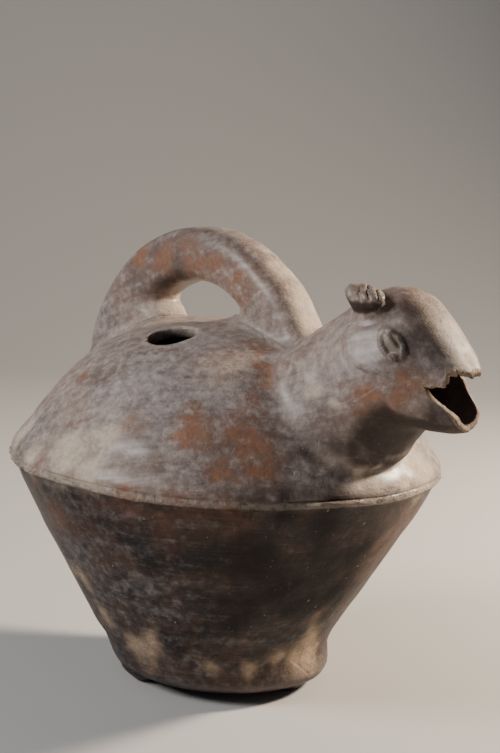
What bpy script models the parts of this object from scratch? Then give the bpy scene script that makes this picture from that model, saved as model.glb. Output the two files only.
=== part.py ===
"""Hollow clay pot: a keeled body on three small feet, a loop handle, a filling hole and a spout shaped as an
animal's head with a broken-off muzzle. The pot is one piece of fired clay.

Metres. The origin is the middle of the base's underside, +X is the way the head looks, and +Z is up.
"""
import bmesh
import bpy
from math import cos, exp, hypot, pi, radians, sin
from mathutils import Matrix, Vector

# Body
RIDGE_RADIUS = 0.1200      # widest part of the body
RIDGE_HEIGHT = 0.1225      # the ridge's middle above the underside
DOME_RISE = 0.0759         # top of the dome above the ridge
DOME_POWER = 3.05          # how flat the dome's top is: 2 is round, more is flatter
SHOULDER_START = 0.90      # share of the radius where the dome turns down into the shoulder
SHOULDER_DIVE = (0.027, -0.059)    # the way the shoulder leaves the dome, as shares of the radius
SHOULDER_LAND = (-0.003, 0.054)    # and the way it comes down on the ridge
CREASE_DEPTH = 0.0012      # line pressed in under the shoulder
LEDGE_HEIGHT = 0.0056      # the shoulder's end and the band of clay under it, which form the ridge
BASE_RADIUS = 0.0622       # the short upright band at the bottom
BASE_BAND = 0.0205         # height where the wall begins to lean out
BASE_SPREAD = 0.0018       # how much wider the base is there
BASE_ROUNDING = 0.0120     # worn lower edge
WALL_SHOULDER = (0.235, 0.31)      # how the wall leaves the ridge, as shares of its spread and its drop
WALL_WAIST = (0.165, 0.20)         # and how it comes down on the base
WALL = 0.0050              # wall of the body
FLOOR = 0.0070             # bottom of the body
FLOOR_FILLET = 0.0080      # rounding between wall and floor inside
BASE_LEAN = 0.0035         # the base sits this far to the head's left and front
WAIST_LEAN = -0.0026       # the wall above it this far the other way
RIDGE_LEAN = -0.0008       # and the ridge this far
LEAN_AZIMUTH = radians(45)
LEAN_END = 0.6             # share of the dome's rise where the lean has run out

# Feet
FOOT_COUNT = 3
FOOT_CIRCLE = 0.0445
FOOT_RADIUS = 0.0066
FOOT_HEIGHT = 0.0035
FOOT_TURN = radians(12)
FOOT_TAPER = (0.80, 1.25)  # its width at the ground and inside the base, as shares of the radius

# Handle
HANDLE_RADIUS = 0.0152     # at the crest
HANDLE_RISE = 0.0355       # the centre line's crest above the dome
HANDLE_CREST = -0.0220     # where that crest is along X
HANDLE_BACK = 0.0720       # reach of the back leg behind the crest
HANDLE_BACK_DROP = 0.0720  # how far below the crest that leg's line turns upright
HANDLE_BACK_SWEEP = radians(118)   # how far round that leg's line curls before it ends in the body
HANDLE_FRONT = 0.0810      # the same for the front leg
HANDLE_FRONT_DROP = 0.0900
HANDLE_FRONT_SWEEP = radians(90)
HANDLE_BACK_SWELL = 0.20   # how much thicker the legs are than the crest
HANDLE_FRONT_SWELL = 0.04
HANDLE_FLARE = 0.35        # and how much more the back leg spreads where it meets the body
HANDLE_FLARE_REACH = 0.60  # height over the dome where that spread fades, as a share of the bar's radius

# Filling hole
HOLE_RADIUS = 0.0135
HOLE_PLACE = (0.0034, -0.0496)
HOLE_TILT = radians(13)

# Neck and head, whose proportions are shares of the head's size
HEAD_SIZE = 0.1000
HEAD_LIFT = 0.0015         # the head's proportions start this far over the dome
NECK_WALL = 0.0042
MUZZLE_WALL = 0.0030
NECK_PLACE = 0.75          # the neck's middle, as a share of the ridge's radius
SQUARENESS = 2.15          # 2 gives oval sections, more gives squarer ones
SPOUT_RUN = (1.0, -0.35)   # the way the passage runs out of the muzzle, forward and up
SPOUT_REACH = 0.12

# One ring of the neck and head in each line, from inside the body to the broken muzzle. Its top point and its
# bottom point, each forward and up from the neck's place on the dome, its half width, how much narrower its top
# is than its bottom, and how far its middle is to the head's left.
RINGS = (
    ((-0.38, 0.150), (0.020, -0.420), 0.350, 0.00, -0.010),
    ((-0.22, 0.315), (0.235, -0.315), 0.385, 0.00, -0.014),
    ((-0.06, 0.428), (0.298, -0.215), 0.352, 0.06, -0.010),
    ((0.10, 0.543), (0.360, -0.138), 0.340, 0.12, -0.004),
    ((0.24, 0.615), (0.428, -0.092), 0.321, 0.20, 0.000),
    ((0.38, 0.612), (0.498, -0.066), 0.290, 0.26, 0.000),
    ((0.49, 0.540), (0.565, -0.058), 0.256, 0.26, 0.000),
    ((0.59, 0.448), (0.640, -0.058), 0.220, 0.20, 0.000),
    ((0.69, 0.342), (0.715, -0.056), 0.180, 0.10, 0.000),
    ((0.785, 0.247), (0.778, -0.039), 0.137, 0.00, 0.000),
)
# Side views of the mouth's opening at the head's right and left, from its corner along the broken upper lip
MOUTH_RIGHT = ((0.62, 0.190), (0.73, 0.180), (0.76, 0.250), (0.80, 0.270), (1.00, 0.330), (1.00, -0.200))
MOUTH_LEFT = ((0.475, 0.240), (0.55, 0.300), (0.62, 0.310), (0.74, 0.280), (1.00, 0.330), (1.00, -0.200))
MOUTH_HALF = 0.25          # how far from the middle those two views are

# Eyes and ears, whose sizes are shares of the head's size too
EYE_PLACES = ((0.468, 0.372), (0.410, 0.310))   # the right eye and the left one, which sits further back
EYE_RADIUS = 0.058
EYE_ROLL = 0.016
EYE_STRETCH = 1.40
EYE_SLANT = radians(40)
EYE_TILT = radians(10)     # how far its face looks up
EYE_TURN = radians(12)     # and how far it looks ahead
BEAN_RADIUS = 0.030
BEAN_SHAPE = (0.75, 1.50, 0.62)
EAR_PLACE = (0.250, 0.505)
EAR_SIDE = 0.205
EAR_SIZE = (0.105, 0.064)
EAR_HEIGHTS = (0.110, 0.018)   # the right ear's stub, and what is left of the left one
EAR_ROOT = 0.12            # how far the stub reaches into the head
EAR_TAPER = 0.90           # its width at the broken top, as a share
EAR_SPLAY = radians(24)

SOLID_EPS = 0.00001        # points closer than this are one
TURNS = 64                 # steps round the body
INNER_TURNS = 56           # and round its hollow
HEAD_SIDES = 28
HANDLE_SIDES = 18


def clear_scene():
    for old in list(bpy.data.objects):
        bpy.data.objects.remove(old, do_unlink=True)


def new_collection(name):
    collection = bpy.data.collections.new(name)
    bpy.context.scene.collection.children.link(collection)
    return collection


def fired_clay():
    clay = bpy.data.materials.new("fired_clay")
    clay.use_nodes = True
    shader = clay.node_tree.nodes["Principled BSDF"]
    shader.inputs["Base Color"].default_value = (0.16, 0.105, 0.085, 1.0)
    shader.inputs["Roughness"].default_value = 0.72
    shader.inputs["Metallic"].default_value = 0.0
    return clay


def smooth_step(share):
    share = min(1.0, max(0.0, share))
    return share * share * (3 - 2 * share)


def dome_height(radius, ridge_radius=RIDGE_RADIUS, rise=DOME_RISE):
    """The dome rises by its full rise times one minus the radius share to the dome's power."""
    return RIDGE_HEIGHT + rise * (1.0 - (radius / ridge_radius) ** DOME_POWER)


def bezier(p0, p1, p2, p3, steps):
    """Points on a cubic curve, both ends included."""
    points = []
    for step in range(steps + 1):
        t = step / steps
        weights = ((1 - t) ** 3, 3 * t * (1 - t) ** 2, 3 * t * t * (1 - t), t ** 3)
        points.append(tuple(sum(w * p[k] for w, p in zip(weights, (p0, p1, p2, p3))) for k in (0, 1)))
    return points


def shoulder_curve(steps):
    """From the dome down to the ridge, where it lands upright."""
    start = (SHOULDER_START * RIDGE_RADIUS, dome_height(SHOULDER_START * RIDGE_RADIUS))
    end = (RIDGE_RADIUS, RIDGE_HEIGHT + 0.27 * LEDGE_HEIGHT)
    pulls = [tuple(p[k] + share[k] * RIDGE_RADIUS for k in (0, 1))
             for p, share in ((start, SHOULDER_DIVE), (end, SHOULDER_LAND))]
    return bezier(start, pulls[0], pulls[1], end, steps)


def wall_curve(inset, top_height, bottom_height):
    """The wall between ridge and base, moved inward by the inset, from top to bottom."""
    top = (RIDGE_RADIUS - 2 * CREASE_DEPTH - inset, top_height)
    bottom = (BASE_RADIUS + BASE_SPREAD - inset, bottom_height)
    drop = top[1] - bottom[1]
    spread = top[0] - bottom[0]
    shoulder = (top[0] - WALL_SHOULDER[0] * spread, top[1] - WALL_SHOULDER[1] * drop)
    waist = (bottom[0] + WALL_WAIST[0] * spread, bottom[1] + WALL_WAIST[1] * drop)
    return bezier(top, shoulder, waist, bottom, 7)


def outer_profile():
    """Outline of the body from the dome's middle down its outer side to the middle of the base."""
    points = [(SHOULDER_START * RIDGE_RADIUS * sin(pi / 2 * k / 8), 0.0) for k in range(8)]
    points = [(r, dome_height(r)) for r, _ in points]
    points += shoulder_curve(4)
    crease = RIDGE_RADIUS - CREASE_DEPTH
    band = RIDGE_RADIUS - CREASE_DEPTH / 5
    points += [(crease, RIDGE_HEIGHT + 0.10 * LEDGE_HEIGHT), (band, RIDGE_HEIGHT - 0.10 * LEDGE_HEIGHT)]
    points += [(band, RIDGE_HEIGHT - 0.40 * LEDGE_HEIGHT)]
    points += wall_curve(0.0, RIDGE_HEIGHT - 0.73 * LEDGE_HEIGHT, BASE_BAND)
    for k in range(5):
        angle = pi / 2 * k / 4
        points.append((BASE_RADIUS - BASE_ROUNDING * (1 - cos(angle)), BASE_ROUNDING * (1 - sin(angle))))
    points.append((0.0, 0.0))
    return points


def inner_profile():
    """Outline of the hollow, one wall inside the outer outline."""
    inner_radius = RIDGE_RADIUS - 2 * CREASE_DEPTH - WALL
    points = [(inner_radius * sin(pi / 2 * k / 8), 0.0) for k in range(8)]
    points = [(r, dome_height(r, inner_radius, DOME_RISE - WALL)) for r, _ in points]
    points += wall_curve(WALL, RIDGE_HEIGHT - 0.73 * LEDGE_HEIGHT, BASE_BAND)
    corner = BASE_RADIUS - WALL
    for k in range(1, 4):
        angle = pi / 2 * k / 3
        points.append((corner - FLOOR_FILLET * (1 - cos(angle)), FLOOR + FLOOR_FILLET * (1 - sin(angle))))
    points.append((0.0, FLOOR))
    return points


def lean(height):
    """Sideways shift of the body's outline: out at the base, back at the waist, less at the ridge, none above."""
    waist = BASE_BAND * 1.5
    if height < waist:
        return BASE_LEAN + (WAIST_LEAN - BASE_LEAN) * smooth_step(height / waist)
    if height < RIDGE_HEIGHT:
        return WAIST_LEAN + (RIDGE_LEAN - WAIST_LEAN) * (height - waist) / (RIDGE_HEIGHT - waist)
    return RIDGE_LEAN * (1 - smooth_step((height - RIDGE_HEIGHT) / (LEAN_END * DOME_RISE)))


def add_mesh_object(name, mesh, collection, matrix=None):
    obj = bpy.data.objects.new(name, mesh)
    if matrix is not None:
        obj.matrix_world = matrix
    collection.objects.link(obj)
    return obj


def as_mesh(obj):
    """A mesh of what the object's modifiers or bevel make, with its loose caps and seam welded."""
    evaluated = obj.evaluated_get(bpy.context.evaluated_depsgraph_get())
    mesh = bpy.data.meshes.new_from_object(evaluated)
    work = bmesh.new()
    work.from_mesh(mesh)
    bmesh.ops.remove_doubles(work, verts=work.verts, dist=SOLID_EPS)
    work.to_mesh(mesh)
    work.free()
    return mesh


def turned(name, profile, turns, collection):
    """A closed solid turned from a profile, then shifted by the body's lean."""
    mesh = bpy.data.meshes.new(name)
    edges = [(k, k + 1) for k in range(len(profile) - 1)]
    mesh.from_pydata([(r, 0.0, z) for r, z in profile], edges, [])
    blank = add_mesh_object(name + "_profile", mesh, collection)
    screw = blank.modifiers.new("turn", "SCREW")
    screw.steps = turns
    screw.render_steps = turns
    screw.use_merge_vertices = True
    screw.merge_threshold = SOLID_EPS
    solid = as_mesh(blank)
    bpy.data.objects.remove(blank, do_unlink=True)
    for vertex in solid.vertices:
        shift = lean(vertex.co.z)
        vertex.co.x += shift * cos(LEAN_AZIMUTH)
        vertex.co.y += shift * sin(LEAN_AZIMUTH)
    return add_mesh_object(name, solid, collection)


def handle_path():
    """Centre line of the handle: two quarter ellipses that share the crest, each running into the body."""
    crest = RIDGE_HEIGHT + DOME_RISE + HANDLE_RISE
    points = []
    steps = 11
    for k in range(-steps, steps + 1):
        angle = (HANDLE_BACK_SWEEP if k < 0 else HANDLE_FRONT_SWEEP) * k / steps
        reach, drop = (HANDLE_BACK, HANDLE_BACK_DROP) if k < 0 else (HANDLE_FRONT, HANDLE_FRONT_DROP)
        points.append((HANDLE_CREST + reach * sin(angle), crest - drop * (1 - cos(angle))))
    return points


def handle(collection):
    """A round bar along the handle's path, thicker in the legs, the back one spread where it meets the dome."""
    curve = bpy.data.curves.new("handle_path", "CURVE")
    curve.dimensions = "3D"
    curve.bevel_depth = HANDLE_RADIUS
    curve.bevel_resolution = HANDLE_SIDES // 2 - 2
    curve.use_fill_caps = True
    path = handle_path()
    spline = curve.splines.new("POLY")
    spline.points.add(len(path) - 1)
    crest = RIDGE_HEIGHT + DOME_RISE + HANDLE_RISE
    for point, (x, z) in zip(spline.points, path):
        clear = max(0.0, z - dome_height(min(abs(x), RIDGE_RADIUS))) / (HANDLE_FLARE_REACH * HANDLE_RADIUS)
        back = x < HANDLE_CREST
        swell = HANDLE_BACK_SWELL if back else HANDLE_FRONT_SWELL
        flare = HANDLE_FLARE * exp(-clear) if back else 0.0
        point.co = (x, 0.0, z, 1.0)
        point.radius = 1.0 + swell * smooth_step((crest - z) / HANDLE_RISE) + flare
    bar = bpy.data.objects.new("handle_path", curve)
    collection.objects.link(bar)
    mesh = as_mesh(bar)
    matrix = bar.matrix_world.copy()
    bpy.data.objects.remove(bar, do_unlink=True)
    return add_mesh_object("handle", mesh, collection, matrix)


def head_frame():
    """Where the head's proportions start: a point over the dome before the axis."""
    place = NECK_PLACE * RIDGE_RADIUS
    return Vector((place, 0.0, dome_height(place) + HEAD_LIFT))


def side_point(forward, up):
    return head_frame() + HEAD_SIZE * Vector((forward, 0.0, up))


def ring_points(ring, inset):
    """One squared oval between a ring's top and bottom points, made smaller all round by the inset."""
    top, bottom = side_point(*ring[0]), side_point(*ring[1])
    centre = (top + bottom) / 2 + Vector((0.0, ring[4] * HEAD_SIZE, 0.0))
    rise = (top - bottom) / 2
    rise = rise * (1 - inset / rise.length)
    across = Vector((0.0, ring[2] * HEAD_SIZE - inset, 0.0))
    points = []
    for k in range(HEAD_SIDES):
        angle = 2 * pi * k / HEAD_SIDES
        c, s = cos(angle), sin(angle)
        size = (abs(c) ** SQUARENESS + abs(s) ** SQUARENESS) ** (-1 / SQUARENESS)
        points.append(centre + rise * (s * size) + across * (c * size * (1 - ring[3] * s * size)))
    return points


def loft(name, rings, collection):
    """A closed solid through rings of equally many points, with a flat cap at each end."""
    work = bmesh.new()
    rows = [[work.verts.new(p) for p in ring] for ring in rings]
    sides = len(rows[0])
    for near, far in zip(rows, rows[1:]):
        for k in range(sides):
            after = (k + 1) % sides
            work.faces.new((near[k], near[after], far[after], far[k]))
    work.faces.new(rows[0][::-1])
    work.faces.new(rows[-1])
    bmesh.ops.recalc_face_normals(work, faces=work.faces)
    mesh = bpy.data.meshes.new(name)
    work.to_mesh(mesh)
    work.free()
    return add_mesh_object(name, mesh, collection)


def head(collection):
    return loft("neck_and_head", [ring_points(ring, 0.0) for ring in RINGS], collection)


def head_hollow(collection):
    """The passage from the body through neck and muzzle, which runs out past the broken front."""
    rings = []
    last = len(RINGS) - 1
    for k, ring in enumerate(RINGS):
        rings.append(ring_points(ring, NECK_WALL + (MUZZLE_WALL - NECK_WALL) * k / last))
    inward = (Vector(rings[0][0]) - Vector(rings[1][0])).normalized() * WALL * 3
    rings.insert(0, [p + inward for p in rings[0]])
    outward = Vector((SPOUT_RUN[0], 0.0, SPOUT_RUN[1])).normalized() * SPOUT_REACH * HEAD_SIZE
    rings.append([p + outward for p in rings[-1]])
    return loft("head_hollow", rings, collection)


def mouth_cutter(collection):
    """A prism across the muzzle that runs from the mouth's right side view to its left one and past both."""
    rings = []
    for share in (-1.0, 2.0):
        ring = []
        for right, left in zip(MOUTH_RIGHT, MOUTH_LEFT):
            forward = right[0] + (left[0] - right[0]) * share
            up = right[1] + (left[1] - right[1]) * share
            ring.append(side_point(forward, up) + Vector((0.0, HEAD_SIZE * MOUTH_HALF * (2 * share - 1), 0.0)))
        rings.append(ring)
    return loft("mouth", rings, collection)


def surface_side(forward, up, side):
    """The point of the head's surface beside a point of the side view, on the given side."""
    place = side_point(forward, up)
    best = None
    for near, far in zip(RINGS, RINGS[1:]):
        middle = (side_point(*near[0]) + side_point(*near[1]) + side_point(*far[0]) + side_point(*far[1])) / 4
        tall = (side_point(*near[0]) - side_point(*near[1])).length / 2
        gap = abs(place.x - middle.x) / tall
        if best is None or gap < best[0]:
            half_width = HEAD_SIZE * (near[2] + far[2]) / 2
            share = min(1.0, max(-1.0, (place.z - middle.z) / tall))
            oval = (1 - abs(share) ** SQUARENESS) ** (1 / SQUARENESS)
            best = (gap, half_width * oval * (1 - (near[3] + far[3]) / 2 * share))
    place.y = side * best[1]
    return place


def primitive(name, collection, build):
    mesh = bpy.data.meshes.new(name)
    work = bmesh.new()
    build(work)
    work.to_mesh(mesh)
    work.free()
    return add_mesh_object(name, mesh, collection)


def eye(side, place, collection):
    """A ring of rolled clay pressed on, stretched down the muzzle, with a bean of clay inside it."""
    place = surface_side(place[0], place[1], side)
    turn = Matrix.Rotation(pi / 2 - side * EYE_TILT, 4, "X") @ Matrix.Rotation(side * EYE_TURN, 4, "Y")
    slant = Matrix.Rotation(-EYE_SLANT, 4, "Y")
    bpy.ops.mesh.primitive_torus_add(major_segments=22, minor_segments=8,
                                     major_radius=EYE_RADIUS * HEAD_SIZE, minor_radius=EYE_ROLL * HEAD_SIZE)
    ring = bpy.context.object
    ring.name = "eye_ring_left" if side > 0 else "eye_ring_right"
    stretch = Matrix.Diagonal((1.0, EYE_STRETCH, 1.0, 1.0))
    ring.data.transform(Matrix.Translation(place) @ slant @ turn @ stretch)
    move_to(ring, collection)
    bean = primitive("eye_bean_left" if side > 0 else "eye_bean_right", collection,
                     lambda work: bmesh.ops.create_uvsphere(work, u_segments=12, v_segments=8,
                                                            radius=BEAN_RADIUS * HEAD_SIZE))
    bean.data.transform(Matrix.Translation(place) @ slant @ turn @ Matrix.Diagonal((*BEAN_SHAPE, 1.0)))
    return [ring, bean]


def ear(side, height, collection):
    """The stub of a broken ear: a short oval post with a worn top."""
    name = "ear_left" if side > 0 else "ear_right"
    post = primitive(name, collection,
                     lambda work: bmesh.ops.create_cone(work, cap_ends=True, segments=20, radius1=1.0,
                                                        radius2=EAR_TAPER, depth=1.0))
    tall = height + EAR_ROOT
    place = side_point(*EAR_PLACE) + Vector((0.0, side * EAR_SIDE * HEAD_SIZE, 0.0))
    size = Matrix.Diagonal((EAR_SIZE[0] * HEAD_SIZE, EAR_SIZE[1] * HEAD_SIZE, tall * HEAD_SIZE, 1.0))
    splay = Matrix.Rotation(-side * EAR_SPLAY, 4, "X")
    rise = Matrix.Translation((0.0, 0.0, HEAD_SIZE * (height - EAR_ROOT) / 2))
    post.data.transform(Matrix.Translation(place) @ splay @ rise @ size)
    return post


def move_to(obj, collection):
    for holder in list(obj.users_collection):
        holder.objects.unlink(obj)
    collection.objects.link(obj)


def foot(index, collection):
    """A small pad under the base, flat below."""
    angle = FOOT_TURN + 2 * pi * index / FOOT_COUNT
    tall = FOOT_HEIGHT + FLOOR / 2
    pad = primitive("foot_%d" % (index + 1), collection,
                    lambda work: bmesh.ops.create_cone(work, cap_ends=True, segments=16,
                                                       radius1=FOOT_RADIUS * FOOT_TAPER[0],
                                                       radius2=FOOT_RADIUS * FOOT_TAPER[1], depth=tall))
    middle = tall / 2 - FOOT_HEIGHT
    pad.data.transform(Matrix.Translation((FOOT_CIRCLE * cos(angle), FOOT_CIRCLE * sin(angle), middle)))
    return pad


def hole_cutter(collection):
    """A cylinder square to the dome at the filling hole."""
    x, y = HOLE_PLACE
    height = dome_height(hypot(x, y))
    drill = primitive("filling_hole", collection,
                      lambda work: bmesh.ops.create_cone(work, cap_ends=True, segments=32, radius1=HOLE_RADIUS,
                                                         radius2=HOLE_RADIUS, depth=WALL * 8))
    drill.data.transform(Matrix.Translation((x, y, height)) @ Matrix.Rotation(HOLE_TILT, 4, "X"))
    return drill


def combine(target, operand, operation):
    step = target.modifiers.new(operand.name, "BOOLEAN")
    step.operation = operation
    step.solver = "EXACT"
    step.object = operand
    operand.hide_render = True
    operand.display_type = "WIRE"


def main():
    clear_scene()
    pot_parts = new_collection("clay_pot_parts")
    cutters = new_collection("cutters")

    pot = turned("clay_pot", outer_profile(), TURNS, pot_parts)
    pot.data.materials.append(fired_clay())

    added = [handle(cutters), head(cutters)]
    added += [foot(index, cutters) for index in range(FOOT_COUNT)]
    for side, height, place in zip((-1, 1), EAR_HEIGHTS, EYE_PLACES):
        added.append(ear(side, height, cutters))
        added += eye(side, place, cutters)
    for solid in added:
        combine(pot, solid, "UNION")

    removed = [mouth_cutter(cutters), turned("hollow", inner_profile(), INNER_TURNS, cutters)]
    removed += [head_hollow(cutters), hole_cutter(cutters)]
    for solid in removed:
        combine(pot, solid, "DIFFERENCE")
    pot.data.shade_smooth()


main()
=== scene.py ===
# Old clay pot with a keeled body, a loop handle, a filling hole and an animal-head spout with a broken muzzle
# The pot is one mesh: outer surfaces from formulas, joined, given soft fillets, then hollowed.
import bmesh
import bpy
import numpy as np
from mathutils import Matrix, Vector
from mathutils.bvhtree import BVHTree


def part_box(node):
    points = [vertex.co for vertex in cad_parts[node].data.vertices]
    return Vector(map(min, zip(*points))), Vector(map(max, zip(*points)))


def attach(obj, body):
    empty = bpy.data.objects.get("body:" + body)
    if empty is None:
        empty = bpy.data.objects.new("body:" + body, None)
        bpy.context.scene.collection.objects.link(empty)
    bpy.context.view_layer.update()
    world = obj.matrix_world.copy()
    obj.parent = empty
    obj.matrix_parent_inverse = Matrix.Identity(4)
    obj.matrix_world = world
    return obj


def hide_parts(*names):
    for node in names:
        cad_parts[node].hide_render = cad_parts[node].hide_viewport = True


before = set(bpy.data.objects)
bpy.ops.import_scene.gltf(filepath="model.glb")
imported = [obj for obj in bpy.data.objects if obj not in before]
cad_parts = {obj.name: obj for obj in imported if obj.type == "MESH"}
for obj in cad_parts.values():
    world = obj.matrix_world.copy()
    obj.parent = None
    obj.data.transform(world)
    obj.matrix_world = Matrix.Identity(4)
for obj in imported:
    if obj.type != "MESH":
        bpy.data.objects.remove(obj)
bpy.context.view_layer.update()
potLow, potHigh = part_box("clay_pot")

# the camera stands before the head's right cheek, tipped a little down and rolled
viewSettings = {
    "place": (0.6369, -0.6227, 0.2972),
    "turn": 135.0, "tilt": 8.257, "roll": 3.35,   # degrees: the way it looks, from the head's own, and down
    "lens": 76.9, "sensor": 36.0,                 # mm
    "picture": (500, 753),                        # the photo's columns and rows
}


def addObject(name, data):
    made = bpy.data.objects.new(name, data)
    bpy.context.scene.collection.objects.link(made)
    return made


# the camera's place and turns as one matrix: it looks along its -Z and is rolled about that line
def cameraView():
    turn, tilt, roll = (np.radians(viewSettings[name]) for name in ("turn", "tilt", "roll"))
    heading = Vector((np.cos(tilt) * np.cos(turn), np.cos(tilt) * np.sin(turn), -np.sin(tilt)))
    facing = heading.to_track_quat("-Z", "Y").to_matrix().to_4x4()
    return Matrix.Translation(viewSettings["place"]) @ facing @ Matrix.Rotation(roll, 4, "Z")


def placeCamera():
    camera = addObject("camera", bpy.data.cameras.new("camera"))
    camera.data.sensor_width = viewSettings["sensor"]
    camera.data.lens = viewSettings["lens"]
    camera.matrix_world = cameraView()
    bpy.context.scene.camera = camera


# where the camera's rays through places of the photo, each a column and a row, first meet a surface
def seenPlaces(surface, spots):
    view = cameraView()
    columns, rows = viewSettings["picture"]
    focus = viewSettings["lens"] / viewSettings["sensor"] * max(columns, rows)   # in pixels
    aims = [view.to_3x3() @ Vector((column - columns / 2, rows / 2 - row, -focus)) for column, row in spots]
    return np.array([surface.ray_cast(view.translation, aim.normalized())[0] for aim in aims])


placeCamera()

bodySize = {
    "ridgeRadius": (potHigh.y - potLow.y) / 2,
    "ridgeHeight": 0.1225,
    "domeRise": 0.0759,
    "domePower": 3.05,
    "shoulderShare": 0.90,   # from here out the dome turns down into the round shoulder over the ridge
    "shoulderDrop": 0.0015,  # where the shoulder ends, above the ridge's middle
    "creaseDepth": 0.0005,   # the line pressed in under the shoulder
    "beadDepth": 0.0007,     # the clay band of the ridge, how far it stands out and its half height
    "beadHalf": 0.0019,
    "baseRadius": 0.0622,
    "baseBand": 0.0205,
    "baseRounding": 0.0120,
    "baseLift": 0.0016,      # the worn front edge of the underside stands this much higher
    "wall": 0.0050,
    "floor": 0.0070,
    "footLean": 0.0035,      # sideways shift of the outline at the base, at the waist and at the ridge
    "waistLean": -0.0026,
    "ridgeLean": -0.0008,
    "leanTurn": np.radians(45),
    "columns": 320,
}


def smoothStep(x):
    x = np.clip(x, 0.0, 1.0)
    return x * x * (3 - 2 * x)


# equal steps of angle once round
def fullTurn(count):
    return np.arange(count) * 2 * np.pi / count


# the two coordinates of a squared circle: an angle's cosine and sine over their length to the given power
def squaredCircle(angle, power):
    c, s = np.cos(angle), np.sin(angle)
    size = (np.abs(c) ** power + np.abs(s) ** power) ** (-1 / power)
    return c * size, s * size


# distance from each flat point to an open path, positive on its left, and the share of the way along it
def pathGap(flat, path):
    start, step = path[:-1], path[1:] - path[:-1]
    t = np.clip(np.einsum("...ij,ij->...i", flat[..., None, :] - start, step) / (step ** 2).sum(1), 0, 1)
    away = flat[..., None, :] - start - t[..., None] * step
    gap = np.linalg.norm(away, axis=-1)
    nearest = gap.argmin(axis=-1)[..., None]
    side = np.sign(step[:, 0] * away[..., 1] - step[:, 1] * away[..., 0])
    along = (nearest + np.take_along_axis(t, nearest, -1)) / len(step)
    return np.take_along_axis(gap * side, nearest, -1)[..., 0], along[..., 0]


# soft unevenness from -1 to 1: the mean of plane sine waves in random directions, near the given length
def waves(points, length, seed, count=18):
    random = np.random.default_rng(seed)
    directions = random.normal(size=(count, 3))
    directions /= np.linalg.norm(directions, axis=1)[:, None]
    directions *= (2 * np.pi / (length * random.uniform(0.7, 1.5, count)))[:, None]
    phases = random.uniform(0, 2 * np.pi, count)
    return np.sin(points @ directions.T + phases).sum(axis=-1) * (1.6 / count ** 0.5) * 0.5


# quads between rows of equally many points, each row closed on itself
def rowQuads(count, around):
    i = np.arange(count - 1)[:, None] * around
    j = np.arange(around)[None, :]
    k = (j + 1) % around
    return np.stack([i + j, i + k, i + around + k, i + around + j], axis=-1).reshape(-1, 4)


# a closed skin over such rows, with a fan to a pole at each end, turned to face out
def meshFromRows(name, rows, startPole=None, endPole=None):
    count, around = rows.shape[:2]
    startPole = rows[0].mean(0) if startPole is None else np.array(startPole, float)
    endPole = rows[-1].mean(0) if endPole is None else np.array(endPole, float)
    points = np.concatenate([rows.reshape(-1, 3), [startPole, endPole]])
    quads = rowQuads(count, around)
    j = np.arange(around)
    k = (j + 1) % around
    first = np.stack([j, np.full(around, count * around), k], axis=-1)
    lastRow = (count - 1) * around
    last = np.stack([lastRow + j, lastRow + k, np.full(around, count * around + 1)], axis=-1)
    a, b, c, d = (points[quads[:, n]] - points.mean(0) for n in range(4))
    volume = np.einsum("ij,ij->", a, np.cross(b, c)) + np.einsum("ij,ij->", a, np.cross(c, d))
    faces = [quads, first, last]
    if volume < 0:
        faces = [f[:, ::-1] for f in faces]
    mesh = bpy.data.meshes.new(name)
    mesh.from_pydata(points.tolist(), [], [f for part in faces for f in part.tolist()])
    mesh.validate()
    return addObject(name, mesh)


def pointsOf(mesh):
    points = np.empty(len(mesh.vertices) * 3, np.float32)
    mesh.vertices.foreach_get("co", points)
    return points.reshape(-1, 3).astype(float)


def setPoints(mesh, points):
    mesh.vertices.foreach_set("co", points.astype(np.float32).ravel())
    mesh.update()


def normalsOf(mesh):
    normals = np.empty(len(mesh.vertices) * 3, np.float32)
    mesh.vertex_normals.foreach_get("vector", normals)
    return normals.reshape(-1, 3).astype(float)


# joins or cuts by an exact Boolean that is applied at once, and removes the operand
def combine(target, operand, operation):
    step = target.modifiers.new(operation.lower(), "BOOLEAN")
    step.operation = operation
    step.solver = "EXACT"
    step.object = operand
    evaluated = target.evaluated_get(bpy.context.evaluated_depsgraph_get())
    result = bpy.data.meshes.new_from_object(evaluated)
    target.modifiers.clear()
    target.data = result
    bpy.data.objects.remove(operand, do_unlink=True)
    return target


# the dome rises by its full rise times one minus the radius share to the dome's power
def domeHeight(radius, ridgeRadius, rise):
    share = np.abs(radius) / ridgeRadius
    return bodySize["ridgeHeight"] + rise * (1 - share ** bodySize["domePower"])


# points on a cubic curve: each end weighs by the cube of the distance to the other
def bezier(p0, p1, p2, p3, count):
    t = np.linspace(0, 1, count)[:, None]
    p0, p1, p2, p3 = (np.array(p, float) for p in (p0, p1, p2, p3))
    return (1 - t) ** 3 * p0 + 3 * t * (1 - t) ** 2 * p1 + 3 * t * t * (1 - t) * p2 + t ** 3 * p3


# the wall from ridge to base in (radius, height), moved inward by the inset
def wallCurve(inset, topHeight, bottomHeight, count):
    top = np.array([bodySize["ridgeRadius"] - 0.0022 - inset, topHeight])
    bottom = np.array([bodySize["baseRadius"] + 0.0018 - inset, bottomHeight])
    spread, drop = top - bottom
    shoulder = top - np.array([0.235 * spread, 0.31 * drop])
    waist = bottom + np.array([0.165 * spread, 0.20 * drop])
    return bezier(top, shoulder, waist, bottom, count)


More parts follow.
